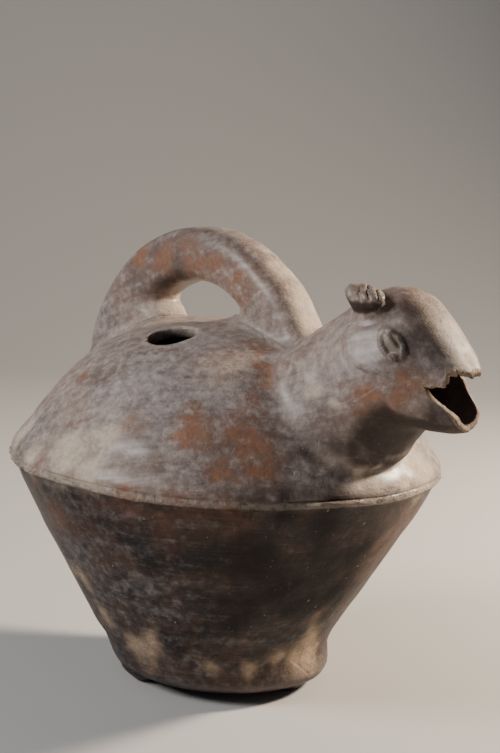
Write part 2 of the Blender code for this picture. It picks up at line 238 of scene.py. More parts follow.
# sideways shift of the outline: out at the base, back at the waist, less at the ridge, none at the top
def lean(height):
    waist, ridge = bodySize["baseBand"] * 1.5, bodySize["ridgeHeight"]
    foot, middle, high = bodySize["footLean"], bodySize["waistLean"], bodySize["ridgeLean"]
    low = foot + (middle - foot) * smoothStep(height / waist)
    wall = middle + (high - middle) * np.clip((height - waist) / (ridge - waist), 0, 1)
    dome = high * (1 - smoothStep((height - ridge) / (0.6 * bodySize["domeRise"])))
    return np.where(height < waist, low, np.where(height < ridge, wall, dome))


# A profile of (radius, height) carried round the axis and shifted by the lean, as rows of points
def turn(profile, columns):
    angle = fullTurn(columns)
    shift = lean(profile[:, 1])[:, None]
    x = profile[:, :1] * np.cos(angle) + shift * np.cos(bodySize["leanTurn"])
    y = profile[:, :1] * np.sin(angle) + shift * np.sin(bodySize["leanTurn"])
    return np.stack([x, y, np.broadcast_to(profile[:, 1:], x.shape)], axis=-1)


# from the dome to an upright tangent at the ridge's radius, by a cubic curve
def shoulderCurve(count):
    radius, ridge = bodySize["ridgeRadius"], bodySize["ridgeHeight"]
    start = radius * bodySize["shoulderShare"]
    start = np.array([start, domeHeight(start, radius, bodySize["domeRise"])])
    end = np.array([radius, ridge + bodySize["shoulderDrop"]])
    return bezier(start, start + (0.0032, -0.0071), end + (-0.0004, 0.0065), end, count)


# dome by its power formula, shoulder, crease, a bead for the ridge, a cubic wall, a rounded edge, the base
def bodyOutside():
    radius, ridge = bodySize["ridgeRadius"], bodySize["ridgeHeight"]
    share = np.sin(np.linspace(0.02, 1, 46) * np.pi / 2)[:, None] * bodySize["shoulderShare"]
    dome = np.concatenate([radius * share, domeHeight(radius * share, radius, bodySize["domeRise"])], axis=1)
    shoulder = shoulderCurve(12)[1:]
    crease = radius - bodySize["creaseDepth"]
    curl = np.array([[radius - 0.0003, ridge + 0.0009], [crease, ridge + 0.0006],
                     [crease + 0.0001, ridge + 0.0003]])
    angle = np.radians(np.linspace(70, -80, 9))
    bead = np.stack([crease + bodySize["beadDepth"] * np.cos(angle),
                     ridge - 0.0016 + bodySize["beadHalf"] * np.sin(angle)], axis=-1)
    wall = wallCurve(0.0, ridge - 0.0041, bodySize["baseBand"], 36)
    rounding = bodySize["baseRounding"]
    angle = np.linspace(0, np.pi / 2, 9)[1:]
    edge = np.stack([bodySize["baseRadius"] - rounding * (1 - np.cos(angle)),
                     rounding * (1 - np.sin(angle))], axis=-1)
    flat = np.stack([np.linspace(edge[-1, 0], 0.002, 8)[1:], np.zeros(7)], axis=-1)
    profile = np.concatenate([dome, shoulder, curl, bead, wall, edge, flat])
    rows = turn(profile, bodySize["columns"])
    first = len(dome) + len(shoulder)
    last = first + len(curl) + len(bead)
    out = rows[..., :2] / np.linalg.norm(rows[..., :2], axis=-1, keepdims=True)
    ring = rows[first:last]
    crumb = waves(ring, 0.006, 31, 24) + 0.6 * waves(ring, 0.0028, 32, 24)
    thick = waves(ring * (1, 1, 0), 0.05, 33, 12)
    arch = np.sin(np.linspace(0, np.pi, len(bead))) * 0.0006
    standsOut = np.concatenate([np.linspace(0, -0.0003, len(curl)), arch])[:, None]
    rows[first:last, :, :2] += out[first:last] * (standsOut * (0.4 + 0.7 * thick + 0.9 * crumb))[..., None]
    low = np.concatenate([np.zeros(len(curl)), np.linspace(0, 1, len(bead))])
    rows[first:last, :, 2] += low[:, None] * (0.0004 * thick + 0.0003 * crumb) + 0.0004 * thick
    front = smoothStep((rows[..., 0] - rows[..., 1]) / 1.414 / 0.05) * smoothStep(1 - rows[..., 2] / rounding)
    rows[..., 2] += bodySize["baseLift"] * front
    return meshFromRows("body", rows)


# the hollow's outline, one wall inside the outer one, down to the floor
def bodyInside():
    radius = bodySize["ridgeRadius"] - 0.0028 - bodySize["wall"]
    share = np.sin(np.linspace(0.03, 0.96, 24) * np.pi / 2)
    rise = bodySize["domeRise"] - bodySize["wall"]
    dome = np.stack([radius * share, domeHeight(radius * share, radius + 0.0005, rise)], axis=-1)
    wall = wallCurve(bodySize["wall"] * 1.12, bodySize["ridgeHeight"] - 0.00375, bodySize["baseBand"], 22)
    corner = bodySize["baseRadius"] - bodySize["wall"] - 0.0015
    floor = bodySize["floor"]
    low = np.array([[corner, floor + 0.006], [corner - 0.0022, floor + 0.0018], [corner - 0.008, floor],
                    [corner * 0.5, floor], [0.002, floor]])
    return meshFromRows("hollow", turn(np.concatenate([dome, wall, low]), 96))


handleSize = {
    "crestX": -0.0220,
    "crestRise": 0.0355,      # the centre line over the dome's top
    "backReach": 0.0738, "backDrop": 0.0720, "backSweep": np.radians(118),
    "frontReach": 0.0810, "frontDrop": 0.0900, "frontSweep": np.radians(90),
    "radius": 0.0152,
    "backGain": 0.0014, "frontGain": 0.0004,      # how much thicker the legs are
    "squareness": 2.9,
    "backBlend": 0.020, "frontBlend": 0.005,      # reach of the fillets where the legs meet the body
    "innerBlend": 0.018,      # the same under the bar
    "lumpPlaces": ((-0.0655, 0.0020, 0.1965), (0.0175, -0.0020, 0.1965)),   # clay smeared inside both feet
    "lumpSizes": ((0.0120, 0.0130, 0.0065), (0.0140, 0.0140, 0.0080)),
}


# two quarter ellipses that share the crest. Gives points (x, z) and the bar's radius at each
def handleLine(count):
    part = np.linspace(-1, 1, count)
    angle = np.where(part < 0, part * handleSize["backSweep"], part * handleSize["frontSweep"])
    reach = np.where(part < 0, handleSize["backReach"], handleSize["frontReach"])
    drop = np.where(part < 0, handleSize["backDrop"], handleSize["frontDrop"])
    crest = bodySize["ridgeHeight"] + bodySize["domeRise"] + handleSize["crestRise"]
    line = np.stack([handleSize["crestX"] + reach * np.sin(angle), crest - drop * (1 - np.cos(angle))], -1)
    gain = np.where(part < 0, handleSize["backGain"], handleSize["frontGain"])
    radius = handleSize["radius"] + gain * smoothStep(np.abs(angle) / np.radians(75))
    return line, radius


# squared circles set square to the handle's line
def handleBar():
    line, radius = handleLine(104)
    along = np.gradient(line, axis=0)
    along /= np.linalg.norm(along, axis=1)[:, None]
    out = np.stack([-along[:, 1], along[:, 0]], axis=-1)
    side, up = (radius[:, None] * share for share in squaredCircle(fullTurn(84), handleSize["squareness"]))
    rows = np.stack([line[:, :1] + out[:, :1] * up, side, line[:, 1:] + out[:, 1:] * up], axis=-1)
    return meshFromRows("handle", rows)


headSize = {
    "size": 0.1000,
    "place": 0.75,            # the neck's middle as a share of the ridge's radius
    "lift": 0.0015,           # and its height over the dome there
    "neckWall": 0.0042,
    "muzzleWall": 0.0026,
    "squareness": 2.15,
    "blend": 0.013,           # reach of the fillet round the neck, and under the throat
    "throatBlend": 0.0022,
    "columns": 216,
}
# each section as shares of the head's size: top point and bottom point (forward, up), half width, taper and
# sideways middle
headRings = np.array([
    [-0.38, 0.150, 0.020, -0.420, 0.350, 0.00, -0.010],
    [-0.22, 0.315, 0.255, -0.315, 0.385, 0.00, -0.014],
    [-0.06, 0.428, 0.325, -0.218, 0.352, 0.06, -0.010],
    [0.10, 0.543, 0.385, -0.142, 0.340, 0.12, -0.004],
    [0.24, 0.615, 0.428, -0.092, 0.321, 0.20, 0.00],
    [0.38, 0.612, 0.498, -0.066, 0.290, 0.26, 0.00],
    [0.49, 0.540, 0.565, -0.058, 0.256, 0.26, 0.00],
    [0.59, 0.448, 0.640, -0.058, 0.220, 0.20, 0.00],
    [0.69, 0.342, 0.715, -0.056, 0.180, 0.10, 0.00],
    [0.80, 0.230, 0.790, -0.036, 0.130, 0.00, 0.00],
])
# where the muzzle is broken off: places that the photo shows, by column and row, and before and after them
# (degrees round the section, share of the head's length), where 90 is the top and 180 the head's right
rimSeen = [
    (465.5, 374), (461.5, 373.5), (456.5, 370), (450, 375), (445, 382.5), (441, 388), (431, 389),
    (421, 385.5), (425, 391), (428.5, 396.5), (433, 401), (442, 408), (449.5, 415)]
rimTop = [(90, 0.970)]
rimFar = [
    (212, 0.985), (242, 0.995), (261, 0.985), (280, 0.930), (294, 0.890), (322, 0.870), (328, 0.845),
    (331, 0.765), (335, 0.675), (344, 0.600), (360, 0.600), (378, 0.700), (400, 0.850), (420, 0.950),
    (435, 0.975), (450, 0.970)]
# the edge of the cheek in the photo, from behind the ear to the corner of the mouth
cheekSeen = [
    (352, 312), (350, 320), (346, 335), (345, 346), (346, 355), (352, 362), (360, 368), (372, 372),
    (385, 375), (400, 379), (412, 383), (421, 385)]


def headPlace():
    radius = bodySize["ridgeRadius"]
    forward = headSize["place"] * radius
    return np.array([forward, domeHeight(forward, radius, bodySize["domeRise"]) + headSize["lift"]])


# the section at a share of the head's length, by Catmull-Rom curves through the listed sections
def ringAt(share):
    place = np.clip(np.asarray(share, float), 0, 1) * (len(headRings) - 1)
    low = np.clip(place.astype(int), 0, len(headRings) - 2)
    t = (place - low)[..., None]
    a, b, c, d = (headRings[np.clip(low + n, 0, len(headRings) - 1)] for n in (-1, 0, 1, 2))
    bend, twist = 2 * a - 5 * b + 4 * c - d, 3 * b - a - 3 * c + d
    return 0.5 * (2 * b + (c - a) * t + bend * t ** 2 + twist * t ** 3)


# top and bottom points (x, z), half width, taper and sideways middle of the section, in metres
def ringFrame(share):
    value = ringAt(share)
    top = headPlace() + headSize["size"] * value[..., 0:2]
    bottom = headPlace() + headSize["size"] * value[..., 2:4]
    return top, bottom, headSize["size"] * value[..., 4], value[..., 5], headSize["size"] * value[..., 6]


# power of the head's section: its own in the neck, and more towards the muzzle, which has a flat top
def headSquareness(share):
    return headSize["squareness"] + 0.75 * smoothStep((share - 0.50) / 0.15)


# points of the head's skin: a squared oval in the plane through a section's top and bottom points
def headPoints(share, angle, inset):
    top, bottom, half, taper, sway = ringFrame(share)
    centre, rise = (top + bottom) / 2, (top - bottom) / 2
    tall = np.linalg.norm(rise, axis=-1)
    rise = rise * (1 - inset / tall)[..., None]
    c, s = squaredCircle(angle, headSquareness(share))
    across = (half - inset) * c * (1 - taper * s)
    place = centre + rise * s[..., None]
    return np.stack([place[..., 0], across + sway, place[..., 1]], axis=-1)


# the section in whose plane each point lies, as a share of the head's length, the point's place in it, across
# and up, where the skin has a length of 1, and its distance from the section's middle
def headSection(points):
    share = np.linspace(0, 1, 90)
    top, bottom = ringFrame(share)[:2]
    up = (top - bottom) / np.linalg.norm(top - bottom, axis=1)[:, None]
    flat = points[:, [0, 2]]
    side = (flat[:, None, 0] - bottom[:, 0]) * up[:, 1] - (flat[:, None, 1] - bottom[:, 1]) * up[:, 0]
    after = np.clip((side > 0).sum(axis=1), 1, len(share) - 1)
    pick = np.arange(len(points))
    a, b = side[pick, after - 1], side[pick, after]
    t = np.clip(a / np.where(np.abs(a - b) < 1e-9, 1e-9, a - b), 0, 1)
    share = share[after - 1] + (share[1] - share[0]) * t
    top, bottom, half, taper, sway = ringFrame(share)
    centre, rise = (top + bottom) / 2, (top - bottom) / 2
    s = ((flat - centre) * rise).sum(1) / (rise ** 2).sum(1)
    across = points[:, 1] - sway
    c = across / (half * (1 - taper * np.clip(s, -1, 1)))
    return share, c, s, np.sqrt(((flat - centre) ** 2).sum(1) + across ** 2)


# the cheek's edge as (x, z) and the broken rim as (degrees, share), by rays from the camera to the plain head
def traceHead():
    share, angle = np.broadcast_arrays(np.linspace(0, 1, 160)[:, None], fullTurn(headSize["columns"]))
    rows = headPoints(share, angle, 0 * share)
    skin = BVHTree.FromPolygons(rows.reshape(-1, 3).tolist(), rowQuads(*share.shape).tolist())
    share, c, s, _ = headSection(seenPlaces(skin, rimSeen))
    rim = np.stack([np.degrees(np.arctan2(s, c)) % 360, share], axis=-1)
    return seenPlaces(skin, cheekSeen)[:, [0, 2]], np.concatenate([rimTop, rim, rimFar])


cheekEdge, brokenRim = traceHead()

eyeSize = {
    "right": (0.459, 0.357), "left": (0.410, 0.310),
    "long": 0.0091, "short": 0.0045, "slant": np.radians(43),
    "ring": 0.0021, "bean": 0.0014,
}


# the cheeks lie on the neck as a thin layer of clay: a step at their edge that fades out inward
def cheekRelief(points):
    gap, along = pathGap(points[..., [0, 2]], cheekEdge)
    gap = gap + 0.0005 * waves(points, 0.009, 41)
    ends = smoothStep(along / 0.12) * smoothStep((1 - along) / 0.25)
    flank = smoothStep((np.abs(points[..., 1]) - 0.014) / 0.006)
    step = smoothStep((gap + 0.0014) / 0.0030) * np.exp(-np.clip(gap, 0, None) / 0.011)
    return (0.0011 * step - 0.0002 * np.exp(-((gap + 0.0016) / 0.0012) ** 2)) * ends * flank


# height of the clay eyes over the cheek: a rolled oval ring, a long bean inside it and a groove each side
def eyeRelief(points):
    height = np.zeros(points.shape[:-1])
    for side, name in ((-1, "right"), (1, "left")):
        spot = headPlace() + headSize["size"] * np.array(eyeSize[name])
        dx, dz = points[..., 0] - spot[0], points[..., 2] - spot[1]
        a = dx * np.cos(eyeSize["slant"]) - dz * np.sin(eyeSize["slant"])
        b = dx * np.sin(eyeSize["slant"]) + dz * np.cos(eyeSize["slant"])
        out = np.hypot(a / eyeSize["long"], b / eyeSize["short"])
        rough = 1 + 0.65 * waves(points, 0.0045, 5, 14)
        ring = eyeSize["ring"] * np.exp(-((out - 0.86) / 0.15) ** 2) * rough
        bean = eyeSize["bean"] * np.exp(-(b / 0.0021) ** 2) * smoothStep((0.95 - out) / 0.35)
        groove = -0.0004 * np.exp(-((np.abs(b) - 0.0034) / 0.0010) ** 2) * smoothStep((0.95 - out) / 0.3)
        height += np.where(points[..., 1] * side > 0, ring + bean + groove, 0)
    return height


# the share of the head's length at which each side of the muzzle is broken off, with small chips
def rimEnd(angle):
    degrees = np.degrees(angle) % 360
    degrees = np.where(degrees < 90, degrees + 360, degrees)
    end = np.interp(degrees, brokenRim[:, 0], brokenRim[:, 1])
    around = np.stack([np.cos(angle), np.sin(angle), 0 * angle], axis=-1)
    upper = 0.35 + 0.65 * smoothStep(np.sin(angle) * 3 + 0.5)
    chips = 0.008 * waves(around, 0.34, 11, 14) + 0.016 * np.clip(waves(around, 0.24, 17, 9) - 0.25, 0, 1)
    return end - upper * chips


# sections from inside the body to the broken rim, the rim's own width, and a dished cap inside it
def headOutside():
    angle = fullTurn(headSize["columns"])
    end = rimEnd(angle)
    along = np.linspace(0, 1, 104) ** 0.92
    share = 0.02 + (end[None, :] - 0.02) * along[:, None]
    around = np.broadcast_to(angle, share.shape)
    rows = headPoints(share, around, np.zeros_like(share))
    normal = np.cross(np.gradient(rows, axis=0), np.roll(rows, -1, axis=1) - np.roll(rows, 1, axis=1))
    normal /= np.linalg.norm(normal, axis=-1)[..., None] + 1e-12
    centre = rows.mean(axis=1, keepdims=True)
    normal *= np.sign(np.sum(normal * (rows - centre), axis=-1).mean())
    rows = rows + normal * (eyeRelief(rows) + cheekRelief(rows))[..., None]
    rim = headPoints(end - 0.002, angle, np.full_like(end, headSize["muzzleWall"] * 1.25))
    dish = headPoints(end - 0.03, angle, np.full_like(end, 0.009))
    rows = np.concatenate([rows, rim[None], dish[None]])
    return meshFromRows("head", rows, endPole=dish.mean(0) - np.array([0.01, 0, 0]))


# the passage through neck and muzzle, one wall inside the skin, run on past the broken front
def headInside():
    share, angle = np.broadcast_arrays(np.linspace(0.0, 1.0, 44)[:, None], fullTurn(96))
    wall = headSize["neckWall"] + (headSize["muzzleWall"] - headSize["neckWall"]) * share
    rows = headPoints(share, angle, wall)
    inward = (rows[0].mean(0) - rows[3].mean(0))
    inward *= 0.016 / np.linalg.norm(inward)
    onward = np.array([0.94, 0.0, -0.33]) * 0.014
    rows = np.concatenate([rows[:1] + inward, rows, rows[-1:] + onward])
    return meshFromRows("passage", rows)


earSize = {
    "place": (0.250, 0.505), "side": 0.205,
    "half": (0.0108, 0.0066), "heights": (0.0124, 0.0026), "splay": np.radians(24),
    "root": 0.004, "blend": 0.005, "slope": 0.14, "round": 0.0032,
}


# where an ear stands and its own axes: along the head, across, and out of the crown
def earFrame(side):
    place = headPlace() + headSize["size"] * np.array(earSize["place"])
    origin = np.array([place[0], side * earSize["side"] * headSize["size"], place[1]])
    splay = earSize["splay"] * side
    along = np.array([1.0, 0.0, 0.0])
    across = np.array([0.0, np.cos(splay), -np.sin(splay)])
    out = np.array([0.0, np.sin(splay), np.cos(splay)])
    return origin, along, across, out


# the post widens from its root to its broken top
def earWidth(level, height):
    return 0.74 + 0.28 * smoothStep((level + 0.004) / (height + 0.004))


# an oval post whose top is broken in slanting layers: its rows rise from inside the crown, then close in
def earStub(side, height):
    origin, along, across, out = earFrame(side)
    angle = fullTurn(72)
    root = -0.012
    risen = np.concatenate([np.linspace(0, 1, 16), np.ones(12)])[:, None]
    widths = earWidth(root + (height - root) * risen[:16, 0], height)
    widths = np.concatenate([widths, widths[-1] * np.linspace(0.96, 0.08, 12)])
    a = widths[:, None] * np.cos(angle) * earSize["half"][0]
    b = widths[:, None] * np.sin(angle) * earSize["half"][1]
    flat = np.stack([a, b, 0 * a], axis=-1)
    layers = np.abs(((a * 0.75 + b * 0.66 + 0.0006 * waves(flat, 0.006, 21)) / 0.0042) % 1.0 - 0.5)
    drop = 0.0016 * smoothStep((0.22 - layers) / 0.2) * smoothStep((a + 0.004) / 0.004)
    rounded = earSize["round"] * np.clip(widths[:, None], 0, 1) ** 3 + earSize["slope"] * a
    crown = height + 0.0009 * waves(flat, 0.008, 22) - drop - rounded
    level = root + (crown - root) * risen
    rows = origin + a[..., None] * along + b[..., None] * across + level[..., None] * out
    return meshFromRows("ear", rows)


footSize = {"count": 3, "circle": 0.0445, "radius": 0.0066, "height": -potLow.z, "turn": np.radians(12)}


# A worn clay pad: rows run down from inside the base, round over and close on a flat underside
def foot(index):
    angle = footSize["turn"] + 2 * np.pi * index / footSize["count"]
    centre = np.array([footSize["circle"] * np.cos(angle), footSize["circle"] * np.sin(angle)])
    under = np.array([0.5, 0.82, 0.96, 1, 1]) * footSize["height"]
    level = np.concatenate([[0.004, 0.0015, -0.0006], -under])
    width = np.array([2.1, 1.85, 1.5, 1.2, 1.0, 0.86, 0.70, 0.3]) * footSize["radius"]
    around = fullTurn(32)
    wobble = 1 + 0.10 * np.sin(2 * around + index) + 0.05 * np.sin(3 * around + 2 * index)
    x = centre[0] + width[:, None] * np.cos(around) * wobble
    y = centre[1] + width[:, None] * np.sin(around) * wobble
    return meshFromRows("foot", np.stack([x, y, np.broadcast_to(level[:, None], x.shape)], axis=-1))


holeSize = {"radius": 0.0132, "place": (0.0034, -0.0496), "tilt": np.radians(13), "rounding": 0.0011}


# an egg of clay: rows of a sphere from the top down, stretched to its size
def lump(place, size):
    tilt = np.linspace(0, np.pi, 26)[1:-1, None]
    angle = fullTurn(40)
    flat = [np.sin(tilt) * np.cos(angle), np.sin(tilt) * np.sin(angle)]
    rows = np.stack([*flat, np.cos(tilt) + 0 * angle], axis=-1)
    pole = np.array([0, 0, size[2]])
    return meshFromRows("lump", place + rows * size, place + pole, place - pole)


def holeCentre():
    x, y = holeSize["place"]
    return np.array([x, y, domeHeight(np.hypot(x, y), bodySize["ridgeRadius"], bodySize["domeRise"])])


# a shaft square to the dome that flares at the skin, so that its rim is rounded by a quarter circle
def holeCutter():
    rounding = holeSize["rounding"]
    drop = np.linspace(0, 1, 9)
    flare = rounding * (1 - np.sqrt(1 - (1 - drop) ** 2))
    depth = np.concatenate([[0.008], -drop * rounding, [-0.02]]) + 0.0004
    radius = holeSize["radius"] + np.concatenate([[rounding], flare, [-0.0008]])
    angle = fullTurn(96)
    shape = 1 + 0.018 * np.cos(2 * (angle - 0.9)) + 0.010 * np.sin(3 * angle)
    a, b = radius[:, None] * np.cos(angle) * shape, radius[:, None] * np.sin(angle) * shape
    out = np.array([0.0, -np.sin(holeSize["tilt"]), np.cos(holeSize["tilt"])])
    across = np.array([0.0, np.cos(holeSize["tilt"]), np.sin(holeSize["tilt"])])
    rows = holeCentre() + a[..., None] * np.array([1.0, 0, 0]) + b[..., None] * across
    return meshFromRows("fillingHole", rows + depth[:, None, None] * out)


# distance to the dome and shoulder from the gaps straight down and straight in: their product over the
# length of both together
def bodyField(points):
    shift = lean(points[:, 2])
    x = points[:, 0] - shift * np.cos(bodySize["leanTurn"])
    y = points[:, 1] - shift * np.sin(bodySize["leanTurn"])
    radius, height = np.hypot(x, y), points[:, 2]
    share = np.linspace(0, bodySize["shoulderShare"], 200)[:-1, None] * bodySize["ridgeRadius"]
    dome = np.concatenate([share, domeHeight(share, bodySize["ridgeRadius"], bodySize["domeRise"])], axis=1)
    outline = np.concatenate([dome, shoulderCurve(80)])
    over = height - np.interp(radius, outline[:, 0], outline[:, 1])
    beside = radius - np.interp(height, outline[::-1, 1], outline[::-1, 0])
    beside = np.where(over < 0, np.minimum(beside, -1e-6), np.maximum(beside, 1e-6))
    return over * np.abs(beside) / np.sqrt(over ** 2 + beside ** 2)


# distance to the handle's line less the bar's radius there, with the section's squareness
def handleField(points):
    line, radius = handleLine(64)
    gap, along = pathGap(points[:, [0, 2]], line)
    size = np.interp(along, np.linspace(0, 1, len(line)), radius)
    power = handleSize["squareness"]
    return (np.abs(gap) ** power + np.abs(points[:, 1]) ** power) ** (1 / power) - size


# distance to the nearer smear of clay inside the handle's feet, each an egg: (length - 1) x its height
def lumpField(points):
    gaps = [(np.linalg.norm((points - place) / np.array(size), axis=1) - 1) * size[2]
            for place, size in zip(handleSize["lumpPlaces"], handleSize["lumpSizes"])]
    return np.min(gaps, axis=0)


# how far a point is past the head's section in whose plane it lies, measured from the section's middle
def headField(points):
    share, c, s, away = headSection(points)
    power = headSquareness(share)
    ratio = (np.abs(s) ** power + np.abs(c) ** power) ** (1 / power) + 1e-9
    return away * (1 - 1 / ratio)


# distance to an ear's oval post, ended by its sloping, rounded top and by its root in the crown
def earField(points, side, height):
    origin, along, across, out = earFrame(side)
    away = points - origin
    a, b, up = away @ along, away @ across, away @ out
    ratio = np.hypot(a / earSize["half"][0], b / earSize["half"][1]) / earWidth(up, height) + 1e-9
    top = height - earSize["round"] * np.minimum(ratio, 1) ** 3 - earSize["slope"] * a
    return np.maximum(np.hypot(a, b) * (1 - 1 / ratio), np.maximum(up - top, -up - earSize["root"]))


# the smaller of two distances, lowered where they are nearly equal, which makes a fillet of that reach
def softMin(a, b, reach):
    near = np.maximum(reach - np.abs(a - b), 0) / reach
    return np.minimum(a, b) - near * near * reach / 4


def potField(points):
    fade = smoothStep((points[:, 2] - bodySize["ridgeHeight"] - 0.001) / 0.012)
    back = smoothStep((-0.030 - points[:, 0]) / 0.035)
    reach = handleSize["frontBlend"] + (handleSize["backBlend"] - handleSize["frontBlend"]) * back
    reach += (handleSize["innerBlend"] - reach) * back * smoothStep((points[:, 0] + 0.080) / 0.012)
    field = softMin(bodyField(points), handleField(points), reach)
    field = softMin(field, lumpField(points), 0.009)
    throat = smoothStep((points[:, 0] - 0.096) / 0.014) * smoothStep((points[:, 1] + 0.030) / 0.024)
    reach = headSize["blend"] * (0.25 + 0.75 * fade)
    field = softMin(field, headField(points), reach + (headSize["throatBlend"] - reach) * throat)
    return softMin(field, earField(points, -1, earSize["heights"][0]), earSize["blend"])


# moves the skin near the joints onto the soft union of body, handle, head and ear, by Newton steps
def fillet(mesh):
    points = pointsOf(mesh)
    parts = [field(points) for field in (bodyField, handleField, headField, lumpField)]
    parts.append(earField(points, -1, earSize["heights"][0]))
    near = np.min(parts, axis=0) - potField(points) > 1e-6
    near &= points[:, 2] > bodySize["ridgeHeight"] + 0.004
    print("in the fillets", near.sum())
    ends = np.empty(len(mesh.edges) * 2, np.int32)
    mesh.edges.foreach_get("vertices", ends)
    ends = ends.reshape(-1, 2)
    ends = ends[near[ends].any(axis=1)]
    a, b = np.concatenate([ends, ends[:, ::-1]]).T
    valence = np.maximum(np.bincount(a, minlength=len(points)), 1)[:, None]
    for turnNumber in range(9):
        if turnNumber < 7:
            mean = np.stack([np.bincount(a, points[b, k], len(points)) for k in range(3)], axis=1) / valence
            points[near] += 0.5 * (mean[near] - points[near])
        for _ in range(2):
            points[near] = towardSkin(points[near])
    setPoints(mesh, points)


# one Newton step along the field's slope, taken from differences a small nudge to each side
def towardSkin(points, nudge=0.0002):
    slope = [potField(points + nudge * axis) - potField(points - nudge * axis) for axis in np.eye(3)]
    slope = np.stack(slope, axis=1) / (2 * nudge)
    step = potField(points) / np.maximum((slope ** 2).sum(1), 0.2)
    return points - np.clip(step, -0.002, 0.002)[:, None] * slope


# hand-made waviness of the outer skin, along its normals: broad swells, thumb-wide dents and fine ripples
def unevenness(mesh):
    points, normals = pointsOf(mesh), normalsOf(mesh)
    broad = waves(points, 0.11, 1)
    thumb = waves(points, 0.035, 2, 24)
    fine = waves(points, 0.011, 3, 30)
    calm = smoothStep((points[:, 2] - 0.001) / 0.004)
    height = calm * (0.00050 * broad + 0.00030 * thumb + 0.00010 * fine)
    setPoints(mesh, points + normals * height[:, None])


# dissolves what is thinner than a fiftieth of a millimetre, which the cuts leave along their edges, and takes
# out pairs of faces that then lie on each other
def clearSlivers(mesh):
    work = bmesh.new()
    work.from_mesh(mesh)
    bmesh.ops.triangulate(work, faces=[face for face in work.faces if len(face.verts) > 4])
    bmesh.ops.dissolve_degenerate(work, dist=0.00002, edges=work.edges[:])
    sameCorners = {}
    for face in work.faces:
        sameCorners.setdefault(frozenset(face.verts), []).append(face)
    doubled = [face for faces in sameCorners.values() if len(faces) > 1 for face in faces]
    bmesh.ops.delete(work, geom=doubled, context="FACES")
    work.to_mesh(mesh)
    work.free()


def buildPot():
    pot = bodyOutside()
    print("body", len(pot.data.vertices))
    combine(pot, handleBar(), "UNION")
    for place, size in zip(handleSize["lumpPlaces"], handleSize["lumpSizes"]):
        combine(pot, lump(place, size), "UNION")
    combine(pot, headOutside(), "UNION")
    for side, height in zip((-1, 1), earSize["heights"]):
        combine(pot, earStub(side, height), "UNION")
    print("joined", len(pot.data.vertices))
    fillet(pot.data)
    unevenness(pot.data)
    for index in range(footSize["count"]):
        combine(pot, foot(index), "UNION")
    combine(pot, bodyInside(), "DIFFERENCE")
    combine(pot, headInside(), "DIFFERENCE")
    combine(pot, holeCutter(), "DIFFERENCE")
    print("hollowed", len(pot.data.vertices))
    clearSlivers(pot.data)
    pot.name = "pot"
    pot.data.name = "pot"
    pot.data.shade_smooth()
    return pot


# stains, worn places and painted light and shade by where the photo shows them: column, row, and how far each
# reaches in millimetres
seenMarks = {
    "redSlip": [
        (245, 430, 12), (258, 440, 13), (250, 405, 8), (262, 350, 8), (268, 375, 9), (222, 470, 9),
        (265, 472, 9), (190, 425, 12), (82, 380, 6), (143, 252, 7), (165, 268, 9), (195, 262, 10),
        (215, 268, 9), (237, 285, 9), (242, 300, 6), (358, 405, 9), (370, 395, 8), (400, 400, 7),
        (35, 478, 9), (130, 500, 9), (180, 512, 11), (240, 520, 12), (60, 520, 10), (395, 530, 22)],
    "brownSlip": [
        (120, 290, 9), (135, 275, 10), (180, 246, 12), (210, 245, 13), (235, 250, 11), (280, 290, 8),
        (120, 430, 13), (150, 460, 10), (210, 450, 14), (270, 430, 13), (285, 455, 10), (100, 380, 9),
        (80, 420, 9), (275, 390, 10), (300, 465, 8), (340, 415, 11), (360, 425, 12), (395, 405, 11)],
    "sandyWearAndLight": [(143, 650, 10), (306, 655, 10), (80, 575, 8)],
    # pale dust: partly real dust, partly painted highlights on lit places
    "paleDustAndHighlight": [(65, 455, 13), (90, 470, 9), (30, 455, 9), (355, 483, 6), (420, 470, 16)],
    # the smoke marks are partly real soot and partly painted shade under the chin and throat, on the crown's
    # shaded side and on the dark front of the lower wall
    "smokeAndShade": [
        (405, 310, 9), (425, 345, 11), (440, 425, 7), (455, 420, 6), (385, 450, 12), (310, 445, 7),
        (290, 590, 30)],
    # grey film: partly real film, partly painted light: gloss on the neck and the lit left side of the lower
    # wall
    "greyFilmAndLight": [
        (335, 385, 10), (100, 590, 13), (150, 600, 15), (110, 400, 16), (150, 380, 12), (230, 400, 9),
        (200, 340, 9), (300, 465, 9)],
}
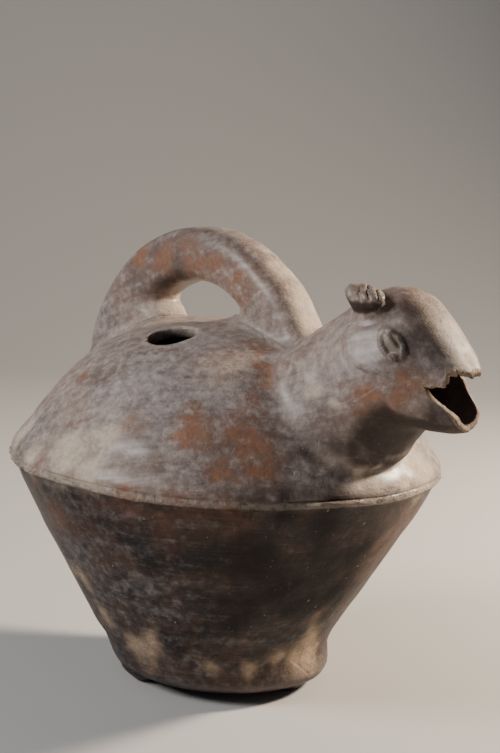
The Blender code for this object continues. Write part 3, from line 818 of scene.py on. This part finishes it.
# and by where they lie on the pot or under its skin: x, y, z and reach, all in millimetres
placedMarks = {
    "redSlip": [
        (30, -100, 150, 9), (148, -24, 187, 7), (99, 10, 84, 16), (60, 60, 170, 16), (-80, 60, 150, 15),
        (-40, 90, 110, 18)],
    "brownSlip": [
        (-50, -15, 232, 10), (24, -13, 228, 9), (131, -24, 168, 12), (134, -10, 223, 8),
        (145, -11, 214, 8), (151, -19, 170, 11), (140, -24, 190, 9), (119, -16, 224, 8),
        (126, 2, 228, 9), (138, 3, 226, 8)],
    # sandy wear: partly real sandy encrustation, partly painted light on the lit right side of the base
    "sandyWearAndLight": [
        (20, -67, 32, 8), (5, -66, 22, 6), (68, 4, 34, 9), (-10, -74, 38, 8), (46, -47, 20, 4),
        (58, -28, 18, 5), (62, -16, 26, 6), (65, -4, 20, 8), (60, 14, 12, 9), (35, -56, 14, 4),
        (70, 0, 44, 6), (-50, 40, 22, 16), (0, 70, 26, 14), (-72, -20, 40, 12)],
    # pale dust: partly real dust, partly painted highlights on the handle's lit outer face, the snout's lit
    # top and the neck's gloss spots
    "paleDustAndHighlight": [
        (20, -106, 144, 9), (118, -9, 129, 5), (-58, -6, 200, 6), (98, -37, 176, 4), (110, -35, 172, 3),
        (-60, -98, 132, 12), (114, 16, 130, 7), (-61, 5, 199, 9), (20, 4, 243, 8), (36, 4, 233, 10),
        (48, 4, 221, 11), (58, 4, 207, 11), (66, 4, 194, 11), (155, 4, 213, 7), (165, 4, 204, 8),
        (174, 4, 194, 7), (40, 110, 131, 16), (-90, 70, 131, 16), (28, 26, 196, 9), (40, 20, 190, 8)],
    # the smoke marks: partly soot, partly painted shade under the jaw and throat and on the shaded front of
    # the lower wall
    "smokeAndShade": [
        (104, -58, 121, 9), (92, -75, 121, 8), (113, -36, 121, 8), (109, -28, 138, 6),
        (140, -24, 205, 9), (107, -33, 148, 6), (118, -28, 150, 7), (126, -16, 154, 9),
        (83, -58, 89, 24), (88, -2, 66, 20), (70, -50, 60, 16), (112, -9, 136, 6), (-46, -10, 213, 8),
        (-33, -12, 217, 9), (118, -14, 226, 7), (118, -13, 145, 13), (125, -5, 153, 13),
        (93, -20, 92, 24), (80, -50, 108, 20), (96, -30, 108, 20), (100, -4, 90, 20)],
    # grey film: partly real film, partly painted highlights where the neck and cheek catch the lamps' gloss
    "greyFilmAndLight": [
        (97, -38, 177, 10), (118, -33, 192, 9), (104, -33, 196, 9), (126, -29, 200, 8),
        (-10, -96, 76, 12), (76, -38, 182, 7), (88, -43, 165, 8), (24, -108, 141, 8), (54, -88, 146, 9),
        (134, -20, 212, 9), (154, -12, 200, 8), (96, -52, 152, 8)],
}


# how near points are to the marks of one kind, stains and painted light and shade alike, from 0 to 1, with
# wavy outlines
def markStrength(points, surface, kind):
    seen, placed = np.array(seenMarks[kind]), np.array(placedMarks[kind]) / 1000
    places = np.concatenate([seenPlaces(surface, seen[:, :2]), placed[:, :3]])
    reaches = np.concatenate([seen[:, 2] / 1000, placed[:, 3]])
    warped = points + 0.0035 * np.stack([waves(points, 0.022, seed, 12) for seed in (51, 52, 53)], axis=1)
    strength = np.zeros(len(points))
    for place, reach in zip(places, reaches):
        away = np.linalg.norm(warped - place, axis=1) / reach
        strength = np.maximum(strength, 0.80 * np.exp(-0.6 * away ** 2))
    return strength


# distance to the body's outline: the dome's field above the ridge, the gap to the wall's radius below it
def bodyGap(points):
    way = np.array([np.cos(bodySize["leanTurn"]), np.sin(bodySize["leanTurn"])])
    flat = points[:, :2] - lean(points[:, 2])[:, None] * way
    wall = wallCurve(0.0, bodySize["ridgeHeight"] - 0.0041, bodySize["baseBand"], 60)[::-1]
    gap = np.hypot(*flat.T) - np.interp(points[:, 2], wall[:, 1], wall[:, 0])
    gap = np.where(points[:, 2] < bodySize["floor"] - 0.002, 0.0, gap)
    return np.where(points[:, 2] > bodySize["ridgeHeight"], bodyField(points), gap)


# point attributes for the clay: the stains and painted light and shade, and what follows from the pot's own
# form
def surfaceMarks(pot):
    points = pointsOf(pot.data)
    x, y, z = points.T
    ridge = bodySize["ridgeHeight"]
    surface = BVHTree.FromObject(pot, bpy.context.evaluated_depsgraph_get())
    marks = {kind: markStrength(points, surface, kind) for kind in seenMarks}
    # painted shade: faces under the head that turn downward are darkened through the smoke mark
    under = smoothStep((-normalsOf(pot.data)[:, 2] - 0.15) / 0.45) * (x > 0.10) * (z > ridge + 0.012)
    marks["smokeAndShade"] = np.maximum(marks["smokeAndShade"], 0.95 * under)
    body, bar, head = bodyGap(points), handleField(points), headField(points)
    wander = 0.0012 * waves(points, 0.010, 61)
    hole = holeCentre()
    reach = np.linalg.norm(points[:, :2] - hole[:2], axis=1) - holeSize["radius"]
    depth = -np.min([body, bar, head], axis=0) - 0.0035 * smoothStep((0.006 - reach) / 0.003)
    marks["inside"] = smoothStep((depth - 0.0014) / 0.0016)
    marks["lowerWall"] = smoothStep((ridge - 0.0030 - z) / 0.0012)
    wide = smoothStep((np.hypot(x, y) - 0.112) / 0.003)
    marks["ridgeBand"] = wide * np.clip(1 - np.abs(z - ridge + 0.0012) / 0.0034, 0, 1)
    # painted shade: the crease mark darkens the line under the shoulder, the neck's seam and the handle's
    # feet
    seam = np.exp(-((body - head + wander) / 0.0011) ** 2) * smoothStep((0.007 - np.abs(body)) / 0.003)
    foot = np.exp(-((body - bar + wander) / 0.0010) ** 2) * smoothStep((0.006 - np.abs(body)) / 0.003)
    line = np.exp(-((z - ridge - 0.0006 + 0.3 * wander) / 0.0007) ** 2) * wide
    line *= 0.30 * smoothStep((waves(points, 0.03, 64) + 0.3) / 0.6)
    above = smoothStep((z - ridge - 0.004) / 0.003)
    broken = smoothStep(waves(points, 0.02, 62) / 0.5)
    marks["crease"] = np.clip(line + above * (0.35 * seam * broken + 0.5 * foot), 0, 1)
    joint = np.exp(-((body - np.minimum(head, bar)) / 0.006) ** 2)
    marks["joint"] = above * joint * smoothStep((0.012 - np.abs(body)) / 0.004)
    share, c, s, _ = headSection(points)
    muzzle = (x > 0.13) & (np.abs(head) < 0.006)
    chipped = np.where(muzzle, smoothStep((share - rimEnd(np.arctan2(s, c)) + 0.016) / 0.012), 0.0)
    origin, along, across, out = earFrame(-1)
    nearEar = np.linalg.norm(points - origin - 0.006 * out, axis=1) < 0.02
    snapped = 0.45 * np.where(nearEar, smoothStep(((points - origin) @ out - 0.0075) / 0.002), 0)
    marks["broken"] = np.maximum(chipped, snapped)
    marks["rimWear"] = np.exp(-((reach - 0.0012) / 0.0016) ** 2) * smoothStep((z - hole[2] + 0.008) / 0.002)
    eyes = eyeRelief(points) * (np.abs(head) < 0.004) * (np.abs(y) > 0.012) * (x > 0.1)
    # painted shade in the grooves round the eyes
    marks["crease"] = np.maximum(marks["crease"], np.clip(-eyes / 0.0030, 0, 1))
    marks["raised"] = np.clip(eyes / 0.0011, 0, 1)
    for name, values in marks.items():
        pot.data.attributes.new(name, "FLOAT", "POINT").data.foreach_set("value", values.astype(np.float32))
    print("marks", len(marks))
    return list(marks)


# adds a node, links or sets its inputs by name or index, and sets its other properties
def addNode(tree, kind, inputs=None, **settings):
    made = tree.nodes.new(kind)
    for name, value in settings.items():
        setattr(made, name, value)
    for key, value in (inputs or {}).items():
        if isinstance(value, bpy.types.NodeSocket):
            tree.links.new(value, made.inputs[key])
        else:
            made.inputs[key].default_value = value
    return made


def calc(tree, operation, a, b=0.0, clamp=False):
    return addNode(tree, "ShaderNodeMath", {0: a, 1: b}, operation=operation, use_clamp=clamp).outputs[0]


def times(tree, a, b):
    return calc(tree, "MULTIPLY", a, b)


# a first value and others, each taken times its weight
def addUp(tree, total, *terms):
    for value, weight in terms:
        total = calc(tree, "ADD", total, times(tree, value, weight))
    return total


def most(tree, first, *others):
    for value in others:
        first = calc(tree, "MAXIMUM", first, value)
    return first


def mixValue(tree, factor, a, b):
    return addNode(tree, "ShaderNodeMix", {0: factor, 2: a, 3: b}, data_type="FLOAT").outputs[0]


def mixColor(tree, factor, a, b, mode="MIX"):
    made = addNode(tree, "ShaderNodeMix", {0: factor, 6: a, 7: b}, data_type="RGBA", blend_type=mode)
    return made.outputs[2]


# one colour laid over another where a mask is, at a share of its strength
def layer(tree, base, mask, share, color):
    return mixColor(tree, times(tree, mask, share), base, color)


def noise(tree, vector, scale, detail, roughness, distortion=0.0):
    inputs = {"Vector": vector, "Scale": scale, "Detail": detail, "Roughness": roughness}
    return addNode(tree, "ShaderNodeTexNoise", {**inputs, "Distortion": distortion}).outputs["Fac"]


# from 0 to 1 between two values, with soft ends
def ramp(tree, value, low, high):
    inputs = {"Value": value, "From Min": low, "From Max": high}
    return addNode(tree, "ShaderNodeMapRange", inputs, interpolation_type="SMOOTHSTEP").outputs["Result"]


# a node group with a vector and float inputs, each with a default. Gives its tree, its inputs and its outputs
def newGroup(name, inputs, outputs):
    tree = bpy.data.node_groups.new(name, "ShaderNodeTree")
    socket = tree.interface.new_socket
    socket(name="Vector", in_out="INPUT", socket_type="NodeSocketVector")
    for key, value in inputs.items():
        socket(name=key, in_out="INPUT", socket_type="NodeSocketFloat").default_value = value
    for key in outputs:
        socket(name=key, in_out="OUTPUT", socket_type="NodeSocketFloat")
    return tree, tree.nodes.new("NodeGroupInput").outputs, tree.nodes.new("NodeGroupOutput").inputs


# places a group on a vector with its own values, and gives its outputs
def useGroup(tree, group, vector, **values):
    return addNode(tree, "ShaderNodeGroup", {"Vector": vector, **values}, node_tree=group).outputs


# a stain with a ragged edge: the strength plus fine noise, cut off softly at one half
def raggedMask():
    inputs = {"Strength": 0.5, "Scale": 60, "Ragged": 0.6, "Edge": 0.2}
    tree, source, sink = newGroup("raggedMask", inputs, ["Mask"])
    grain = calc(tree, "SUBTRACT", noise(tree, source["Vector"], source["Scale"], 7, 0.65), 0.5)
    value = addUp(tree, source["Strength"], (grain, source["Ragged"]))
    low, high = (calc(tree, way, 0.5, source["Edge"]) for way in ("SUBTRACT", "ADD"))
    tree.links.new(ramp(tree, value, low, high), sink["Mask"])
    return tree


# a group's vector turned by its Tip about X and Y, then drawn out by its Stretch along Z
def drawnOut(tree, source):
    spin = addNode(tree, "ShaderNodeCombineXYZ", {0: source["Tip"], 1: source["Tip"]}).outputs[0]
    size = addNode(tree, "ShaderNodeCombineXYZ", {0: 1.0, 1: 1.0, 2: source["Stretch"]}).outputs[0]
    turned = addNode(tree, "ShaderNodeMapping", {"Vector": source["Vector"], "Rotation": spin}).outputs[0]
    return addNode(tree, "ShaderNodeMapping", {"Vector": turned, "Scale": size}).outputs[0]


# strokes of a wiping or burnishing hand: noise drawn out along lines that lie across the turned up axis
def handStrokes():
    tree, source, sink = newGroup("handStrokes", {"Scale": 10, "Stretch": 14, "Tip": 0.0}, ["Value"])
    tree.links.new(noise(tree, drawnOut(tree, source), source["Scale"], 5, 0.62, 0.4), sink["Value"])
    return tree


# scattered flecks: in a share of the cells of a Voronoi pattern, the part near the cell's point
def flecks():
    inputs = {"Scale": 120, "Amount": 0.2, "Size": 0.2, "Stretch": 1.0, "Tip": 0.0}
    tree, source, sink = newGroup("flecks", inputs, ["Mask"])
    place = drawnOut(tree, source)
    cells = addNode(tree, "ShaderNodeTexVoronoi", {"Vector": place, "Scale": source["Scale"]})
    parts = addNode(tree, "ShaderNodeSeparateColor", {0: cells.outputs["Color"]}).outputs
    chosen = calc(tree, "LESS_THAN", parts[0], source["Amount"])
    reach = times(tree, source["Size"], calc(tree, "ADD", 0.35, parts[1]))
    spot = ramp(tree, cells.outputs["Distance"], reach, times(tree, reach, 0.45))
    tree.links.new(times(tree, chosen, spot), sink["Mask"])
    return tree


# clay colours, linear
clayColors = {
    "slip": (0.180, 0.120, 0.094, 1), "redSlip": (0.232, 0.108, 0.063, 1), "umber": (0.118, 0.086, 0.074, 1),
    # lower: the dark fired clay, made darker still as painted shade for the downward-facing lower wall
    "lower": (0.014, 0.012, 0.012, 1), "lowerWarm": (0.058, 0.029, 0.021, 1),
    "lowerGrey": (0.112, 0.106, 0.112, 1),
    "film": (0.282, 0.246, 0.243, 1), "filmWarm": (0.325, 0.268, 0.236, 1), "dustAndHighlight": (0.540, 0.450, 0.355, 1),
    "sandAndLight": (0.410, 0.300, 0.212, 1), "sootAndShade": (0.011, 0.009, 0.009, 1), "ochre": (0.400, 0.250, 0.130, 1),
    "inside": (0.075, 0.055, 0.047, 1), "fleck": (0.560, 0.510, 0.450, 1), "creaseShade": (0.040, 0.028, 0.024, 1),
}


# how the edge of each mark breaks up: the noise's scale and its share, and how soft the edge is
raggedEdges = {
    "redSlip": (48, 1.3, 0.42), "brownSlip": (40, 0.8, 0.48), "smokeAndShade": (60, 1.2, 0.46),
    "sandyWearAndLight": (70, 1.1, 0.42), "joint": (130, 1.2, 0.40), "paleDustAndHighlight": (80, 1.1, 0.34),
    "ridgeBand": (150, 1.9, 0.26), "worn": (150, 0.8, 0.30), "broken": (300, 0.7, 0.20),
}


def clayMaterial(markNames):
    clay = bpy.data.materials.new("firedClay")
    clay.use_nodes = True
    tree = clay.node_tree
    shader = tree.nodes["Principled BSDF"]
    place = tree.nodes.new("ShaderNodeTexCoord").outputs["Object"]
    ragged, strokes, spots = raggedMask(), handStrokes(), flecks()
    color = clayColors
    mark = {}
    for name in markNames:
        mark[name] = addNode(tree, "ShaderNodeAttribute", attribute_name=name).outputs["Fac"]
    mark["worn"] = most(tree, mark["rimWear"], mark["raised"])
    below, inside = mark["lowerWall"], mark["inside"]
    mask = {}
    for name, (scale, share, edge) in raggedEdges.items():
        cut = useGroup(tree, ragged, place, Strength=mark[name], Scale=scale, Ragged=share, Edge=edge)
        mask[name] = cut["Mask"]
    sootAndShade, sandAndLight, dustAndHighlight = mask["smokeAndShade"], mask["sandyWearAndLight"], mask["paleDustAndHighlight"]
    band, chips = mask["ridgeBand"], mask["broken"]

    broad = noise(tree, place, 11, 4, 0.6)
    patchy = noise(tree, place, 38, 6, 0.62, 0.6)
    fine = noise(tree, place, 210, 6, 0.65)
    wiped = useGroup(tree, strokes, place, Scale=30, Stretch=8, Tip=0.42)["Value"]
    rubbed = useGroup(tree, strokes, place, Scale=9, Stretch=26)["Value"]

    # slip: brown above and nearly black below, where the dark clay is darkened further as painted shade on
    # the downward-facing wall; redder where it shows through
    red = times(tree, mask["redSlip"], ramp(tree, noise(tree, place, 130, 6, 0.7), 0.29, 0.56))
    upper = mixColor(tree, ramp(tree, broad, 0.38, 0.62), color["umber"], color["slip"])
    upper = mixColor(tree, red, upper, color["redSlip"])
    lower = mixColor(tree, ramp(tree, patchy, 0.36, 0.64), color["lower"], color["lowerWarm"])
    lower = layer(tree, lower, red, 0.32, color["redSlip"])
    base = mixColor(tree, below, upper, lower)

    # the dusty film over it, thin over the red patches and below the ridge
    amount = 0.56
    for value, weight in ((patchy, 0.32), (wiped, 0.95), (broad, 0.45), (fine, 1.7)):
        amount = addUp(tree, amount, (calc(tree, "SUBTRACT", value, 0.5), weight))
    # the grey film marks also carry painted light: a paler film where the neck and cheek gleam and on the
    # wall's lit side
    amount = addUp(tree, amount, (mask["brownSlip"], -0.32), (mark["greyFilmAndLight"], 0.38), (red, -0.42),
                   (mark["smokeAndShade"], -0.45), (mark["joint"], 0.12))
    thick = ramp(tree, amount, 0.05, 1.0)
    thin = ramp(tree, addUp(tree, times(tree, amount, 0.5), (rubbed, 0.7)), 0.50, 0.96)
    film = mixValue(tree, below, times(tree, thick, 0.88), times(tree, thin, 0.60))
    filmColor = mixColor(tree, ramp(tree, broad, 0.40, 0.66), color["film"], color["filmWarm"])
    filmColor = mixColor(tree, below, filmColor, color["lowerGrey"])
    filmColor = layer(tree, filmColor, ramp(tree, fine, 0.40, 0.72), 0.30, color["dustAndHighlight"])
    base = mixColor(tree, film, base, filmColor)

    # hair-thin wiping lines on the wall
    lines = ramp(tree, useGroup(tree, strokes, place, Scale=34, Stretch=34, Tip=0.05)["Value"], 0.56, 0.68)
    base = layer(tree, base, times(tree, lines, 0.09), below, color["film"])

    # soot and painted shade, sandy wear and painted light, dust in the joints, and pale dust and painted
    # highlights on top
    # painted shade: the soot colour is laid on more strongly on the lower wall
    base = layer(tree, base, sootAndShade, addUp(tree, 0.76, (below, 0.21)), color["sootAndShade"])
    # painted light: the sand colour also lightens the lit right side of the base
    base = layer(tree, base, sandAndLight, 0.85, color["sandAndLight"])
    base = layer(tree, base, mask["joint"], 0.30, color["filmWarm"])
    # painted highlights: the pale dust colour also brightens the handle's lit strip, the snout's top and
    # gloss spots on the neck
    base = layer(tree, base, dustAndHighlight, 0.70, color["dustAndHighlight"])

    # the ridge's pale crumbling band, worn rims, the hollow, painted shade in the creases and broken edges
    pits = ramp(tree, noise(tree, place, 330, 5, 0.75), 0.50, 0.66)
    bandColor = mixColor(tree, patchy, color["filmWarm"], color["dustAndHighlight"])
    bandColor = layer(tree, bandColor, pits, 0.70, color["umber"])
    dusty = calc(tree, "ADD", 0.34, times(tree, mark["paleDustAndHighlight"], 0.70), clamp=True)
    base = layer(tree, base, band, dusty, bandColor)
    base = layer(tree, base, mask["worn"], 0.20, color["dustAndHighlight"])
    base = mixColor(tree, inside, base, layer(tree, color["inside"], patchy, 0.5, color["film"]))
    # painted shade: the creases are darkened
    base = layer(tree, base, mark["crease"], 0.55, color["creaseShade"])
    chipColor = mixColor(tree, ramp(tree, patchy, 0.42, 0.58), color["sandAndLight"], color["ochre"])
    chipColor = layer(tree, chipColor, ramp(tree, fine, 0.42, 0.58), 0.8, color["umber"])
    base = layer(tree, base, chips, 0.75, chipColor)

    # pale flecks and scratches, upright on the wall and slanting on the dome
    grit = useGroup(tree, spots, place, Scale=620, Amount=0.045, Size=0.22)["Mask"]
    nicks = useGroup(tree, spots, place, Scale=420, Amount=0.05, Size=0.22, Stretch=0.10, Tip=0.12)["Mask"]
    slashes = useGroup(tree, spots, place, Scale=17, Amount=0.10, Size=0.22, Stretch=16, Tip=0.6)["Mask"]
    nicked = calc(tree, "MULTIPLY", nicks, calc(tree, "ADD", 0.25, below), clamp=True)
    pale = times(tree, most(tree, grit, nicked, times(tree, slashes, 0.3)), 0.34)
    base = layer(tree, base, pale, calc(tree, "SUBTRACT", 1.0, inside), color["fleck"])
    shade = addUp(tree, 0.46, (noise(tree, place, 330, 5, 0.72), 1.08))
    grey = addNode(tree, "ShaderNodeCombineColor", {0: shade, 1: shade, 2: shade}).outputs[0]
    tree.links.new(mixColor(tree, 1.0, base, grey, "MULTIPLY"), shader.inputs["Base Color"])

    # burnished where the slip shows, dull under the film, the dust and painted highlights, the sand and
    # painted light, and the soot and painted shade
    covered = most(tree, sandAndLight, dustAndHighlight, band, inside, times(tree, sootAndShade, 0.9))
    gloss = addUp(tree, 0.36, (rubbed, 0.16))
    tree.links.new(mixValue(tree, most(tree, film, covered), gloss, 0.72), shader.inputs["Roughness"])
    shader.inputs["Specular IOR Level"].default_value = 0.18
    matt = most(tree, covered, chips, times(tree, film, 0.45))
    polish = times(tree, calc(tree, "SUBTRACT", 1.0, matt), addUp(tree, 0.64, (below, -0.54)))
    tree.links.new(times(tree, polish, ramp(tree, wiped, 0.05, 0.75)), shader.inputs["Coat Weight"])
    shader.inputs["Coat Roughness"].default_value = 0.30

    # fine relief: grain, hand strokes, scratches, crumbs on the ridge and the breaks
    crumbs = times(tree, noise(tree, place, 420, 6, 0.75), addUp(tree, band, (chips, 1.4)))
    height = times(tree, noise(tree, place, 700, 5, 0.7), 0.30)
    height = addUp(tree, height, (noise(tree, place, 120, 5, 0.6), 0.46), (wiped, 0.30), (rubbed, 0.30),
                   (film, 0.10), (most(tree, nicks, slashes), -0.12), (crumbs, 0.9),
                   (times(tree, pits, band), -0.5), (mark["crease"], -0.6))
    relief = addNode(tree, "ShaderNodeBump", {"Height": height, "Distance": 0.0012, "Strength": 0.95})
    tree.links.new(relief.outputs["Normal"], shader.inputs["Normal"])
    return clay


def areaLight(name, place, aim, size, power, color):
    light = bpy.data.lights.new(name, "AREA")
    light.size = size
    light.energy = power
    light.color = color
    lamp = addObject(name, light)
    lamp.location = place
    lamp.rotation_euler = (Vector(aim) - Vector(place)).to_track_quat("-Z", "Y").to_euler()


# a pale paper that lies under the pot and curves up far behind it, a dim sky and two soft lamps
def studio():
    sweep = {"width": 5.0, "front": -2.2, "flat": 1.1, "radius": 0.9, "top": 3.2}
    bend = np.linspace(0, np.pi / 2, 24)
    along = sweep["flat"] + sweep["radius"] * np.sin(bend)
    along = np.concatenate([[sweep["front"], 0.0], along, along[-1:]])
    height = np.concatenate([[0.0, 0.0], sweep["radius"] * (1 - np.cos(bend)), [sweep["top"]]]) + potLow.z
    turn = np.radians(viewSettings["turn"])
    away, side = np.array([np.cos(turn), np.sin(turn)]), np.array([np.sin(turn), -np.cos(turn)])
    across = np.array([-0.5, 0.5]) * sweep["width"]
    flat = along[:, None, None] * away + across[None, :, None] * side
    points = np.concatenate([flat, height[:, None, None] + 0 * flat[..., :1]], axis=2).reshape(-1, 3)
    faces = 2 * np.arange(len(along) - 1)[:, None] + np.array([[0, 1, 3, 2]])
    floor = bpy.data.meshes.new("floor")
    floor.from_pydata(points.tolist(), [], faces.tolist())
    floor.shade_smooth()
    paper = bpy.data.materials.new("palePaper")
    paper.use_nodes = True
    shader = paper.node_tree.nodes["Principled BSDF"]
    shader.inputs["Base Color"].default_value = (0.42, 0.415, 0.41, 1)
    shader.inputs["Roughness"].default_value = 0.9
    floor.materials.append(paper)
    addObject("floor", floor)
    world = bpy.data.worlds.new("studio")
    world.use_nodes = True
    sky = world.node_tree.nodes["Background"]
    sky.inputs["Color"].default_value = (0.95, 0.96, 1.0, 1)
    sky.inputs["Strength"].default_value = 0.115
    bpy.context.scene.world = world
    areaLight("key", (-0.45, -1.25, 0.95), (0, 0, 0.13), 0.6, 25, (1.0, 0.985, 0.97))
    areaLight("rim", (0.42, 1.00, 0.70), (0.02, 0, 0.15), 0.18, 48, (1.0, 0.83, 0.64))


studio()
pot = buildPot()
markNames = surfaceMarks(pot)
pot.data.materials.clear()
pot.data.materials.append(clayMaterial(markNames))
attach(pot, "root")
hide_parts("clay_pot")
print("triangles", sum(len(f.vertices) - 2 for f in pot.data.polygons))
